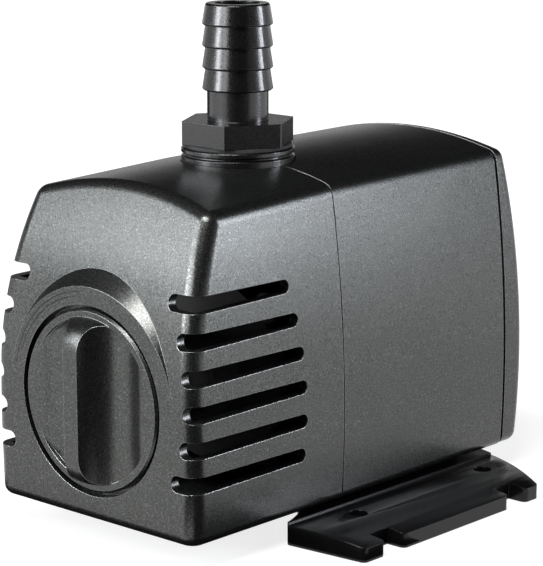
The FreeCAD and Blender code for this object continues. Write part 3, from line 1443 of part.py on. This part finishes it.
def build_pump():
    """Makes every sub-part; their labels name the files."""
    core = stator_core()
    bobbins = [coil_bobbin("coil_bobbin_right", ""), coil_bobbin("coil_bobbin_left", "-")]
    windings = [winding("winding_right", ""), winding("winding_left", "-")]
    housing = motor_housing()
    bosses = motor_bosses()
    return [
        front_cage(),
        flow_dial(),
        flow_shutter(),
        shutter_screw(),
        pump_chamber(),
        chamber_cover(),
        chamber_screws(),
        seal_ring("chamber_cover_seal", "chamber_front", FRONT_SEAL_END),
        seal_ring("rear_chamber_seal", REAR_SEAL_START, CHAMBER_END),
        hose_adaptor(),
        adaptor_gasket(),
        impeller(),
        rotor_sleeve(),
        rotor_magnet(),
        rotor_shaft(),
        bush("front_bush", "(front_bush_front + nozzle_wall)"),
        bush("rear_bush", "(" + WELL_END + " - well_wall - bush_length)"),
        housing,
        core,
        *bobbins,
        *windings,
        epoxy_potting([core] + bobbins + windings + bosses),
        rear_gasket(),
        rear_cap(),
        rear_cap_screws(),
        cord_gland(),
        base_plate(),
        base_screws(),
    ]


def check_document():
    """Stops where an object of the document failed or carries an error."""
    for item in doc.Objects:
        bad = [state for state in item.State if state in ("Invalid", "Error")]
        if bad:
            raise RuntimeError("%s is %s" % (item.Name, ", ".join(bad)))


def write_parts(parts):
    """Writes each sub-part to a file of its own, once all of them are sound."""
    for part in parts:
        if part.Shape.isNull() or not part.Shape.isValid():
            raise RuntimeError("%s has no sound shape" % part.Label)
    os.makedirs("parts", exist_ok=True)
    for part in parts:
        part.Shape.exportStep(os.path.join("parts", part.Label + ".step"))
        print("%-22s %2d solid %10.1f mm3" % (part.Label, len(part.Shape.Solids), part.Shape.Volume))


fill_sheet()
pump_parts = build_pump()
doc.recompute()
check_document()
write_parts(pump_parts)
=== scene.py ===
import math

import bmesh
import bpy
from mathutils import Matrix, Vector


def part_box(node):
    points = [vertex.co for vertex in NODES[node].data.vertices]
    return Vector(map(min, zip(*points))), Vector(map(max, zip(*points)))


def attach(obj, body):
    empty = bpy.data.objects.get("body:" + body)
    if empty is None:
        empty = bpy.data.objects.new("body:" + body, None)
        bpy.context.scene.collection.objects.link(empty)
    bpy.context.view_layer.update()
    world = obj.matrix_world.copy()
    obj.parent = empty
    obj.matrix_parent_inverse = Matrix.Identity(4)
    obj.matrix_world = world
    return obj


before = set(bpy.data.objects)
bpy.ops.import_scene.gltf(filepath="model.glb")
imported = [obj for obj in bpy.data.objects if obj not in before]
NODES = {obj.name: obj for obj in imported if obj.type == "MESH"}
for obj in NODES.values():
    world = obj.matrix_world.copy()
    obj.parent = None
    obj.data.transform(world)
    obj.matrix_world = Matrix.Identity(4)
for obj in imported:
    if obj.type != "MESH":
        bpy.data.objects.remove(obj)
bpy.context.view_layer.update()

MM = 0.001
WAVE_PERIOD = math.pi / 10  # of the wave texture at scale 1
CRISP, FLAT = 0.75, 0.99  # cosine between a rounded and a plain normal
CLOTH_BLACK = (0.004, 0.004, 0.004, 1)
COOL = (0.98, 1.0, 1.05)
COLD = (0.97, 1.0, 1.10)


# ---------------------------------------------------------------- camera

def make_camera():
    """The photograph's view: 42 degrees to the right of the front, 12 degrees up."""
    right = Vector((0.7408, 0.6717, 0.0))
    up = Vector((-0.1408, 0.1553, 0.9778))
    back = Vector((0.6568, -0.7243, 0.2096))
    data = bpy.data.cameras.new("camera")
    data.lens = 146.2
    data.sensor_width = 36.0
    data.clip_start = 0.05
    data.clip_end = 60.0
    camera = bpy.data.objects.new("camera", data)
    turn = Matrix((right, up, back)).transposed().to_4x4()
    camera.matrix_world = Matrix.Translation((0.3690, -0.4186, 0.1700)) @ turn
    bpy.context.scene.collection.objects.link(camera)
    bpy.context.scene.camera = camera


# ------------------------------------------------------------- node trees

class Surface:
    """A procedural material in the making: a Principled shader and what feeds it."""

    def __init__(self, name):
        self.material = bpy.data.materials.new(name)
        self.material.use_nodes = True
        self.tree = self.material.node_tree
        self.shader = self.tree.nodes["Principled BSDF"]
        self.place = self.tree.nodes.new("ShaderNodeTexCoord").outputs["Object"]

    def node(self, kind, **settings):
        made = self.tree.nodes.new("ShaderNode" + kind)
        for key, setting in settings.items():
            setattr(made, key, setting)
        return made

    def feed(self, source, target):
        """Sets a socket to a plain number or colour, or links an output to it."""
        if isinstance(source, bpy.types.NodeSocket):
            self.tree.links.new(source, target)
        else:
            target.default_value = source

    def noise(self, size_mm, detail=2.0, roughness=0.5, stretch=(1, 1, 1)):
        """Noise whose grains are about size_mm across."""
        mapping = self.node("Mapping")
        mapping.inputs["Scale"].default_value = [s / (size_mm * MM) for s in stretch]
        self.feed(self.place, mapping.inputs["Vector"])
        noise = self.node("TexNoise")
        noise.inputs["Scale"].default_value = 1.0
        noise.inputs["Detail"].default_value = detail
        noise.inputs["Roughness"].default_value = roughness
        self.feed(mapping.outputs["Vector"], noise.inputs["Vector"])
        return noise.outputs["Fac"]

    def bands(self, pitch_mm, axis, wobble=0.0, profile="SIN"):
        """Even bands across an axis, as wire turns or stacked sheets make."""
        mapping = self.node("Mapping")
        mapping.inputs["Scale"].default_value = [WAVE_PERIOD / (pitch_mm * MM)] * 3
        self.feed(self.place, mapping.inputs["Vector"])
        wave = self.node("TexWave", bands_direction=axis, wave_profile=profile)
        wave.inputs["Scale"].default_value = 1.0
        wave.inputs["Distortion"].default_value = wobble
        self.feed(mapping.outputs["Vector"], wave.inputs["Vector"])
        return wave.outputs["Fac"]

    def level(self, source, low, high, start=0.0, end=1.0):
        """Maps start..end of a grey value to low..high."""
        remap = self.node("MapRange")
        self.feed(source, remap.inputs["Value"])
        remap.inputs["From Min"].default_value = start
        remap.inputs["From Max"].default_value = end
        remap.inputs["To Min"].default_value = low
        remap.inputs["To Max"].default_value = high
        return remap.outputs["Result"]

    def blend(self, amount, first, second):
        """Mixes two colours by a grey value."""
        mix = self.node("Mix", data_type="RGBA")
        self.feed(amount, mix.inputs["Factor"])
        colour_a, colour_b, colour_out = mix.inputs[6], mix.inputs[7], mix.outputs[2]
        for source, target in ((first, colour_a), (second, colour_b)):
            linked = isinstance(source, bpy.types.NodeSocket)
            self.feed(source if linked else (*source, 1), target)
        return colour_out

    def add(self, first, second, how="ADD"):
        """Adds two grey values, or subtracts or multiplies them."""
        total = self.node("Math", operation=how)
        self.feed(first, total.inputs[0])
        self.feed(second, total.inputs[1])
        return total.outputs[0]

    def edges(self, radius_mm):
        """0 on flat ground, 1 on a crisp edge."""
        bevel = self.node("Bevel", samples=4)
        bevel.inputs["Radius"].default_value = radius_mm * MM
        plain = self.node("NewGeometry")
        dot = self.node("VectorMath", operation="DOT_PRODUCT")
        self.feed(bevel.outputs["Normal"], dot.inputs[0])
        self.feed(plain.outputs["Normal"], dot.inputs[1])
        return self.level(dot.outputs["Value"], 1.0, 0.0, CRISP, FLAT)

    def bump(self, height, depth_mm, strength=1.0, round_mm=0.0):
        """Raises a grain; round_mm also lets crisp edges catch the light as rounded ones do."""
        relief = self.node("Bump")
        if round_mm:
            corner = self.node("Bevel", samples=8)
            corner.inputs["Radius"].default_value = round_mm * MM
            self.feed(corner.outputs["Normal"], relief.inputs["Normal"])
        relief.inputs["Distance"].default_value = depth_mm * MM
        relief.inputs["Strength"].default_value = strength
        self.feed(height, relief.inputs["Height"])
        self.feed(relief.outputs["Normal"], self.shader.inputs["Normal"])

    def finish(self, colour, roughness, **sockets):
        """Feeds the shader; specular_ior_level=0.5 sets its socket Specular IOR Level."""
        self.feed(colour, self.shader.inputs["Base Color"])
        self.feed(roughness, self.shader.inputs["Roughness"])
        for name, setting in sockets.items():
            socket = name.replace("_", " ").title().replace("Ior", "IOR")
            self.feed(setting, self.shader.inputs[socket])
        return self.material


# --------------------------------------------------------------- materials

def charcoal_plastic():
    """Satin charcoal moulding: a spark-eroded grain, fine bright flakes, rubbed edges."""
    made = Surface("charcoal_plastic")
    grain = made.noise(0.42, 3.0, 0.6)
    flakes = made.level(made.noise(0.30, 1.0), 0.0, 1.0, 0.58, 0.74)
    cloud = made.noise(26.0, 2.0)
    clouded = made.level(cloud, 0.0, 1.0, 0.35, 0.65)
    dark = made.blend(clouded, (0.042, 0.0435, 0.0415), (0.052, 0.0535, 0.0505))
    crests = made.level(grain, 0.0, 1.0, 0.36, 0.66)
    grained = made.blend(crests, dark, (0.083, 0.086, 0.082))
    flaked = made.blend(made.add(flakes, 0.5, "MULTIPLY"), grained, (0.26, 0.26, 0.262))
    rubbed = made.add(made.edges(0.3), 0.6, "MULTIPLY")
    worn = made.blend(rubbed, flaked, (0.42, 0.42, 0.42))
    made.bump(grain, 0.03, 0.5, round_mm=0.22)
    return made.finish(worn, made.level(grain, 0.22, 0.35), metallic=0.93)


def black_plastic(name, smooth, rough, shine):
    """Gloss black moulding: a fine skin grain, a faint swirl and soft handling marks.

    smooth and rough are the skin's least and greatest roughness, shine its specular level.
    """
    made = Surface(name)
    swirl = made.noise(3.2, 3.0, 0.6)
    skin = made.noise(0.28, 2.0)
    scuffs = made.level(made.noise(1.1, 4.0, 0.7, (1.0, 1.0, 0.25)), 0.0, 1.0, 0.58, 0.8)
    plain = made.blend(swirl, (0.002, 0.002, 0.0022), (0.004, 0.004, 0.0043))
    rubbed = made.add(made.edges(0.2), 0.3, "MULTIPLY")
    worn = made.blend(rubbed, plain, (0.022, 0.022, 0.023))
    made.bump(skin, 0.03, 0.5, round_mm=0.25)
    skin_roughness = made.level(skin, smooth, rough, 0.3, 0.7)
    roughness = made.add(skin_roughness, made.level(scuffs, 0.0, 0.08))
    return made.finish(worn, roughness, specular_ior_level=shine)


def moulded(name, dark, light, roughness=0.42):
    """A plain moulding: flow marks in its colour, a fine matt grain and rubbed edges."""
    made = Surface(name)
    flow = made.noise(6.0, 3.0, 0.55, (1.0, 0.35, 1.0))
    grain = made.noise(0.35, 2.0)
    body = made.blend(made.level(flow, 0.0, 1.0, 0.3, 0.7), dark, light)
    worn = made.add(made.edges(0.2), 0.25, "MULTIPLY")
    rubbed = made.blend(worn, body, [min(1, 1.5 * c) for c in light])
    made.bump(grain, 0.02, 0.4)
    return made.finish(rubbed, made.level(grain, roughness - 0.06, roughness + 0.08))


def rubber():
    """Matt black rubber with a dusty bloom."""
    made = Surface("rubber")
    bloom = made.noise(4.0, 5.0, 0.65)
    grain = made.noise(0.25, 2.0)
    dusty = made.level(bloom, 0.0, 1.0, 0.45, 0.75)
    colour = made.blend(dusty, (0.012, 0.012, 0.012), (0.035, 0.034, 0.033))
    made.bump(grain, 0.03, 0.5)
    return made.finish(colour, made.level(bloom, 0.62, 0.85))


def ceramic():
    """Ground ceramic with faint rings from the wheel."""
    made = Surface("ceramic")
    rings = made.bands(0.12, "Y", 1.5)
    colour = made.blend(made.noise(1.5), (0.80, 0.79, 0.75), (0.88, 0.87, 0.84))
    made.bump(rings, 0.004, 0.4)
    return made.finish(colour, made.level(rings, 0.18, 0.28), coat_weight=0.2)


def magnet():
    """Sintered ferrite: dark, faintly metallic, with dented pits whose shade is painted into
    the colour.
    """
    made = Surface("magnet")
    grain = made.noise(0.3, 4.0, 0.7)
    pit_dents_and_shade = made.level(made.noise(0.9, 2.0), 0.0, 1.0, 0.66, 0.74)
    colour = made.blend(grain, (0.045, 0.045, 0.05), (0.10, 0.10, 0.11))
    # The pits are darkened in colour: painted shade in the dents.
    pit_shaded_colour = made.blend(pit_dents_and_shade, colour, (0.015, 0.015, 0.016))
    made.bump(made.add(grain, pit_dents_and_shade, "SUBTRACT"), 0.05, 0.5)
    return made.finish(pit_shaded_colour, made.level(grain, 0.42, 0.6), metallic=0.35)


def laminations():
    """Sheets of silicon steel, half a millimetre each, with blued edges."""
    made = Surface("laminations")
    sheets = made.bands(0.5, "Y", 0.0, "SAW")
    oxide = made.noise(5.0, 4.0, 0.6)
    blued = made.level(oxide, 0.0, 1.0, 0.35, 0.7)
    steel = made.blend(blued, (0.42, 0.42, 0.44), (0.24, 0.24, 0.30))
    joints = made.level(sheets, 0.55, 0.0, 0.0, 0.25)
    colour = made.blend(joints, steel, (0.10, 0.10, 0.11))
    made.bump(sheets, 0.05, 0.6)
    return made.finish(colour, made.level(oxide, 0.32, 0.5), metallic=0.9)


def copper():
    """Enamelled copper wire laid turn by turn, with painted shade in the valleys between turns.
    """
    made = Surface("copper")
    turns = made.bands(0.45, "Z", 0.35)
    tone = made.noise(2.5, 3.0)
    wire = made.blend(tone, (0.46, 0.17, 0.06), (0.62, 0.27, 0.11))
    # Darker colour in the valleys between turns is painted shade.
    valley_shade = made.level(turns, 0.8, 0.0, 0.0, 0.35)
    colour = made.blend(valley_shade, wire, (0.10, 0.035, 0.015))
    made.bump(turns, 0.12, 0.8)
    return made.finish(colour, made.level(tone, 0.25, 0.36), metallic=0.8, coat_weight=0.5)


def resin():
    """Cast black potting with slow ripples and a few pinholes."""
    made = Surface("resin")
    ripple = made.noise(9.0, 2.0)
    holes = made.level(made.noise(1.6, 1.0), 0.0, 1.0, 0.72, 0.78)
    colour = made.blend(ripple, (0.014, 0.014, 0.015), (0.028, 0.028, 0.030))
    made.bump(made.add(ripple, holes, "SUBTRACT"), 0.15, 0.4)
    return made.finish(colour, made.level(ripple, 0.14, 0.26))


def stainless():
    """Turned stainless screws."""
    made = Surface("stainless")
    lathe = made.noise(0.18, 3.0, 0.6)
    tone = made.noise(2.0, 2.0)
    colour = made.blend(tone, (0.50, 0.50, 0.50), (0.64, 0.63, 0.61))
    made.bump(lathe, 0.008, 0.5)
    return made.finish(colour, made.level(lathe, 0.22, 0.38), metallic=1.0)


def node_materials():
    """Gives every CAD node the finish of its slot, and returns the fittings' black, which also
    paints the shade of the dial ring's tool marks.
    """
    charcoal = charcoal_plastic()
    black = black_plastic("black_plastic", 0.17, 0.30, 0.6)
    gloss = black_plastic("gloss_black_plastic", 0.14, 0.24, 0.25)
    grey = moulded("grey_plastic", (0.035, 0.035, 0.036), (0.055, 0.055, 0.056))
    white = moulded("white_plastic", (0.66, 0.65, 0.61), (0.76, 0.75, 0.72), 0.36)
    soft = rubber()
    steel = stainless()
    wire = copper()
    finishes = {
        charcoal: ("front_cage", "flow_dial", "motor_housing", "rear_cap"),
        black: ("pump_chamber", "hose_adaptor"),
        gloss: ("base_plate",),
        grey: ("flow_shutter", "chamber_cover"),
        white: ("impeller", "rotor_sleeve", "coil_bobbin_right", "coil_bobbin_left"),
        soft: (
            "chamber_cover_seal", "rear_chamber_seal", "adaptor_gasket", "front_bush",
            "rear_bush", "rear_gasket", "cord_gland",
        ),
        steel: ("shutter_screw", "chamber_screws", "rear_cap_screws", "base_screws"),
        wire: ("winding_right", "winding_left"),
        ceramic(): ("rotor_shaft",),
        magnet(): ("rotor_magnet",),
        laminations(): ("stator_core",),
        resin(): ("epoxy_potting",),
    }
    for material, names in finishes.items():
        for name in names:
            for slot in NODES[name].material_slots:
                slot.material = material
    return black


def soften(name, width_mm):
    """Rounds a moulding's crisp edges: triangles are joined to whole faces first."""
    stack = NODES[name].modifiers
    weld = stack.new("weld", "WELD")
    weld.merge_threshold = 0.01 * MM
    join = stack.new("join", "DECIMATE")
    join.decimate_type = "DISSOLVE"
    join.angle_limit = math.radians(1)
    round_off = stack.new("edge_round", "BEVEL")
    round_off.width = width_mm * MM
    round_off.segments = 3
    round_off.limit_method = "ANGLE"
    round_off.angle_limit = math.radians(50)
    round_off.use_clamp_overlap = True
    round_off.harden_normals = True


def ring_ribs(material):
    """Two hair-fine tool marks round the upper left of the dial's ring; their black colour is
    painted shade, as the real marks are of the ring's charcoal plastic.
    """
    dial_low, dial_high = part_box("flow_dial")
    middle_x = (dial_low[0] + dial_high[0]) / 2
    middle_z = (dial_low[2] + dial_high[2]) / 2
    rim = (dial_high[0] - dial_low[0]) / 2
    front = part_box("front_cage")[0][1]
    steps = 60
    widest, narrowest = 0.13, 0.01
    proud, sunk = 0.09, -0.02
    marks = ((2.9, 97, 160), (4.0, 92, 168))
    mesh = bmesh.new()
    for out_mm, start, end in marks:
        radius = rim + out_mm * MM
        rows = []
        for step in range(steps + 1):
            share = step / steps
            angle = math.radians(start + share * (end - start))
            half = (widest * math.sin(math.pi * share) ** 0.4 + narrowest) * MM
            row = []
            for offset, height in ((-half, sunk), (0.0, proud), (half, sunk)):
                reach = radius + offset
                place = (
                    middle_x + reach * math.cos(angle),
                    front - height * MM,
                    middle_z + reach * math.sin(angle),
                )
                row.append(mesh.verts.new(place))
            rows.append(row)
        for first, second in zip(rows, rows[1:]):
            for side in range(3):
                after = (side + 1) % 3
                mesh.faces.new((first[side], first[after], second[after], second[side]))
        mesh.faces.new(rows[0])
        mesh.faces.new(rows[-1])
    bmesh.ops.recalc_face_normals(mesh, faces=mesh.faces)
    data = bpy.data.meshes.new("ring_ribs")
    mesh.to_mesh(data)
    mesh.free()
    # The fittings' black on these ribs is painted shade: the real marks are of the ring's
    # charcoal plastic.
    data.materials.append(material)
    ribs = bpy.data.objects.new("ring_ribs", data)
    bpy.context.scene.collection.objects.link(ribs)
    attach(ribs, "cage")


# ------------------------------------------------------------------- studio

def pale(name, near, far, albedo):
    """White ground that still takes a shadow.

    near and far are its glow round the object and a metre off. Only the camera, mirrors and
    glass see the glow, so it puts no diffuse light on the object.
    """
    material = bpy.data.materials.new(name)
    material.use_nodes = True
    tree = material.node_tree
    tree.nodes.clear()
    path = tree.nodes.new("ShaderNodeLightPath")
    seen = path.outputs["Is Camera Ray"]
    for ray in ("Is Glossy Ray", "Is Transmission Ray"):
        either = tree.nodes.new("ShaderNodeMath")
        either.operation = "MAXIMUM"
        tree.links.new(seen, either.inputs[0])
        tree.links.new(path.outputs[ray], either.inputs[1])
        seen = either.outputs[0]
    place = tree.nodes.new("ShaderNodeTexCoord")
    distance = tree.nodes.new("ShaderNodeVectorMath")
    distance.operation = "LENGTH"
    tree.links.new(place.outputs["Object"], distance.inputs[0])
    level = tree.nodes.new("ShaderNodeMapRange")
    tree.links.new(distance.outputs["Value"], level.inputs["Value"])
    ramp = {"From Min": 0.3, "From Max": 1.0, "To Min": near, "To Max": far}
    for key, setting in ramp.items():
        level.inputs[key].default_value = setting
    glow = tree.nodes.new("ShaderNodeMath")
    glow.operation = "MULTIPLY"
    tree.links.new(level.outputs["Result"], glow.inputs[0])
    tree.links.new(seen, glow.inputs[1])
    matt = tree.nodes.new("ShaderNodeBsdfDiffuse")
    matt.inputs["Color"].default_value = (albedo, albedo, albedo, 1)
    light = tree.nodes.new("ShaderNodeEmission")
    tree.links.new(glow.outputs[0], light.inputs["Strength"])
    both = tree.nodes.new("ShaderNodeAddShader")
    tree.links.new(matt.outputs[0], both.inputs[0])
    tree.links.new(light.outputs[0], both.inputs[1])
    output = tree.nodes.new("ShaderNodeOutputMaterial")
    tree.links.new(both.outputs[0], output.inputs["Surface"])
    return material


def make_floor():
    """The pale ground, a hair below the base plate's underside."""
    half = 6.0
    corners = [(-half, -half, 0), (half, -half, 0), (half, half, 0), (-half, half, 0)]
    mesh = bpy.data.meshes.new("floor")
    mesh.from_pydata(corners, [], [(0, 1, 2, 3)])
    floor = bpy.data.objects.new("floor", mesh)
    floor.location.z = -0.2 * MM
    mesh.materials.append(pale("pale_floor", 0.80, 0.98, 0.30))
    bpy.context.scene.collection.objects.link(floor)


def make_world():
    """A pale wall round the horizon under a dark ceiling."""
    world = bpy.data.worlds.new("world")
    bpy.context.scene.world = world
    world.use_nodes = True
    tree = world.node_tree
    background = tree.nodes["Background"]
    place = tree.nodes.new("ShaderNodeTexCoord")
    split = tree.nodes.new("ShaderNodeSeparateXYZ")
    tree.links.new(place.outputs["Generated"], split.inputs[0])
    fade = tree.nodes.new("ShaderNodeValToRGB")
    wall, ceiling = fade.color_ramp.elements
    wall.position = 0.03
    wall.color = (0.95, 0.95, 0.95, 1)
    ceiling.position = 0.20
    ceiling.color = (0.04, 0.04, 0.038, 1)
    tree.links.new(split.outputs["Z"], fade.inputs[0])
    tree.links.new(fade.outputs[0], background.inputs["Color"])


def aim(item, place, target):
    """Puts a lamp at a place and turns it to face a target."""
    item.location = place
    item.rotation_mode = "QUATERNION"
    item.rotation_quaternion = (Vector(target) - Vector(place)).to_track_quat("-Z", "Y")


def softbox(name, place, target, size, power, tint=(1, 1, 1)):
    """A rectangular lamp: its width and height in metres, its power in watts."""
    data = bpy.data.lights.new(name, "AREA")
    data.color = tint
    data.shape = "RECTANGLE"
    data.size, data.size_y = size
    data.energy = power
    lamp = bpy.data.objects.new(name, data)
    aim(lamp, place, target)
    bpy.context.scene.collection.objects.link(lamp)


def flag(name, corners):
    """A black studio cloth: reflections see it, the camera and diffuse light do not."""
    mesh = bpy.data.meshes.new(name)
    mesh.from_pydata(corners, [], [(0, 1, 2, 3)])
    cloth = bpy.data.materials.new(name)
    cloth.use_nodes = True
    weave = cloth.node_tree.nodes["Principled BSDF"].inputs
    weave["Base Color"].default_value = CLOTH_BLACK
    weave["Roughness"].default_value = 1.0
    weave["Specular IOR Level"].default_value = 0.0
    mesh.materials.append(cloth)
    card = bpy.data.objects.new(name, mesh)
    card.visible_camera = False
    card.visible_shadow = False
    card.visible_diffuse = False
    bpy.context.scene.collection.objects.link(card)


def lying(left, right, front, back):
    """The corners of a cloth laid just above the floor."""
    height = 0.5 * MM
    outline = ((left, front), (right, front), (right, back), (left, back))
    return [(x, y, height) for x, y in outline]


def hanging(start, end, top):
    """The corners of a cloth hung down to the floor between two places."""
    return [(*start, 0.0), (*end, 0.0), (*end, top), (*start, top)]


def make_lights():
    """Lamps placed where the photo's highlights mirror them, and cloths where it is dark."""
    middle = (0.0, 0.0, 0.045)
    outlet = (0.0, -0.0235, 0.11)
    softbox("front_left", (-0.723, -1.331, 0.817), middle, (1.27, 0.785), 28, COOL)
    softbox("front_low", (-0.614, -1.282, 0.31), outlet, (0.40, 0.30), 7.5, COOL)
    softbox("front_high", (-0.02, -1.45, 0.50), middle, (0.40, 0.28), 4.2)
    softbox("front_top", (0.20, -0.74, 1.32), middle, (0.72, 0.40), 22)
    softbox("right_back", (0.636, 0.486, 0.27), middle, (0.16, 0.44), 4.2, COLD)
    rising_cloth = [(-2.4, -0.4, 0.16), (1.1, 2.2, 0.55), (1.1, 2.2, 2.2), (-2.4, -0.4, 2.2)]
    overhead_cloth = [(-1.6, 0.3, 2.0), (1.0, 0.3, 2.0), (1.0, 2.6, 2.0), (-1.6, 2.6, 2.0)]
    flag("cloth_back_left", rising_cloth)
    flag("cloth_front", hanging((0.3, -2.2), (2.6, -0.6), 1.6))
    flag("cloth_above", overhead_cloth)
    flag("cloth_floor_front", lying(0.02, 1.1, -1.2, -0.10))
    flag("cloth_floor_right", lying(0.05, 1.1, -0.10, -0.045))
    flag("cloth_floor_back", lying(-1.6, -0.08, -0.05, 1.6))
    flag("cloth_foot", lying(-0.06, 0.06, -0.085, -0.02))


bpy.context.scene.view_settings.view_transform = "Standard"
make_camera()
fittings_black_and_rib_shade = node_materials()
soften("base_plate", 0.6)
# The ring's tool marks take the fittings' black as painted shade.
ring_ribs(fittings_black_and_rib_shade)
make_floor()
make_world()
make_lights()
